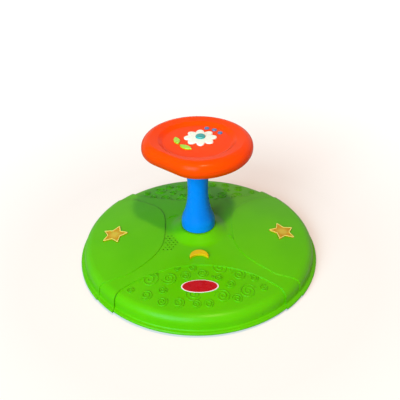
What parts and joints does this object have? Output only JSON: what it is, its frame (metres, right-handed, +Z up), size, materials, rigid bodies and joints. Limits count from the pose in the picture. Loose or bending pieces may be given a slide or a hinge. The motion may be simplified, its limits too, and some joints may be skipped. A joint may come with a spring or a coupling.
{
  "type": "toddler spinning seat",
  "caption": "Toddler spinning seat: a round seat disc turns on rollers round a fixed waisted column with a dished handwheel on top.",
  "frame": {"origin": "centre of the footprint at floor level, on the seat's turning axis", "axes": "+Z up along the turning axis, -Y towards the front with the label, +X to the right seen from the front"},
  "size_m": [0.4698, 0.4616, 0.26],
  "materials": {
    "black_rubber": "matt",
    "base_plastic": "fine texture, dark green",
    "green_plastic": "satin moulded",
    "orange_plastic": "satin moulded",
    "blue_plastic": "satin moulded",
    "yellow_lens": "translucent",
    "white_plastic": "glossy",
    "teal_plastic": "glossy",
    "lime_plastic": "glossy",
    "slate_plastic": "glossy",
    "red_label": "printed film",
    "grey_plastic": "fine texture",
    "nylon": "natural",
    "tube_steel": "zinc plated",
    "screw_steel": "zinc plated",
    "board": "solder mask",
    "cell_wrap": "printed sleeve",
    "speaker_metal": "black"
  },
  "bodies": {
    "stand": {"rubber_feet": "black_rubber", "floor_base": "base_plastic", "shaft_flange": "grey_plastic", "flange_screws": "screw_steel", "flange_pin": "screw_steel", "centre_shaft": "tube_steel", "thrust_washer": "nylon", "shaft_collar": "tube_steel", "collar_pin": "screw_steel", "post_cover": "blue_plastic", "wheel_lower_shell": "orange_plastic", "wheel_upper_shell": "orange_plastic", "wheel_pin": "screw_steel", "wheel_screws": "screw_steel", "flower_petals": "white_plastic", "flower_eye": "teal_plastic", "flower_leaves": "lime_plastic", "dish_dots": "slate_plastic"},
    "seat": {"seat_disc": "green_plastic", "hub_bush": "nylon", "roller_brackets": "grey_plastic", "bracket_screws": "screw_steel", "roller_axles": "tube_steel", "switch_dome": "black_rubber", "circuit_board": "board", "board_tray": "grey_plastic", "tray_screws": "screw_steel", "speaker": "speaker_metal", "speaker_clamp": "tube_steel", "clamp_screws": "screw_steel", "battery_box": "grey_plastic", "battery_door": "grey_plastic", "door_screw": "screw_steel", "box_screws": "screw_steel", "batteries": "cell_wrap", "battery_contacts": "tube_steel", "label_plate": "red_label", "star_lens_left": "yellow_lens", "star_lens_right": "yellow_lens", "star_lamps": "white_plastic"},
    "button": {"moon_button": "yellow_lens"},
    "wheel_1": {"roller_1": "nylon"},
    "wheel_2": {"roller_2": "nylon"},
    "wheel_3": {"roller_3": "nylon"},
    "wheel_4": {"roller_4": "nylon"},
    "wheel_5": {"roller_5": "nylon"},
    "wheel_6": {"roller_6": "nylon"}
  },
  "joints": [
    {"name": "seat_spin", "type": "hinge", "parent": "stand", "child": "seat", "pos_m": [0, 0, 0.05], "axis": [0, 0, 1], "continuous": true},
    {"name": "moon_press", "type": "slide", "parent": "seat", "child": "button", "axis": [0, -0.0614, 0.9981], "range_m": [-0.002, 0], "stiffness_N_per_m": 300, "springref_m": 0.002},
    {"name": "roller_1_spin", "type": "hinge", "parent": "seat", "child": "wheel_1", "pos_m": [0.0635, -0.10998, 0.0233], "axis": [0.5, -0.866, 0], "continuous": true},
    {"name": "roller_2_spin", "type": "hinge", "parent": "seat", "child": "wheel_2", "pos_m": [0.127, 0, 0.0233], "axis": [1, 0, 0], "continuous": true},
    {"name": "roller_3_spin", "type": "hinge", "parent": "seat", "child": "wheel_3", "pos_m": [0.0635, 0.10998, 0.0233], "axis": [0.5, 0.866, 0], "continuous": true},
    {"name": "roller_4_spin", "type": "hinge", "parent": "seat", "child": "wheel_4", "pos_m": [-0.0635, 0.10998, 0.0233], "axis": [-0.5, 0.866, 0], "continuous": true},
    {"name": "roller_5_spin", "type": "hinge", "parent": "seat", "child": "wheel_5", "pos_m": [-0.127, 0, 0.0233], "axis": [-1, 0, 0], "continuous": true},
    {"name": "roller_6_spin", "type": "hinge", "parent": "seat", "child": "wheel_6", "pos_m": [-0.0635, -0.10998, 0.0233], "axis": [-0.5, -0.866, 0], "continuous": true}
  ],
  "couplings": [
    {"joint": "roller_1_spin", "follows": "seat_spin", "ratio": -11.545},
    {"joint": "roller_2_spin", "follows": "seat_spin", "ratio": -11.545},
    {"joint": "roller_3_spin", "follows": "seat_spin", "ratio": -11.545},
    {"joint": "roller_4_spin", "follows": "seat_spin", "ratio": -11.545},
    {"joint": "roller_5_spin", "follows": "seat_spin", "ratio": -11.545},
    {"joint": "roller_6_spin", "follows": "seat_spin", "ratio": -11.545}
  ]
}
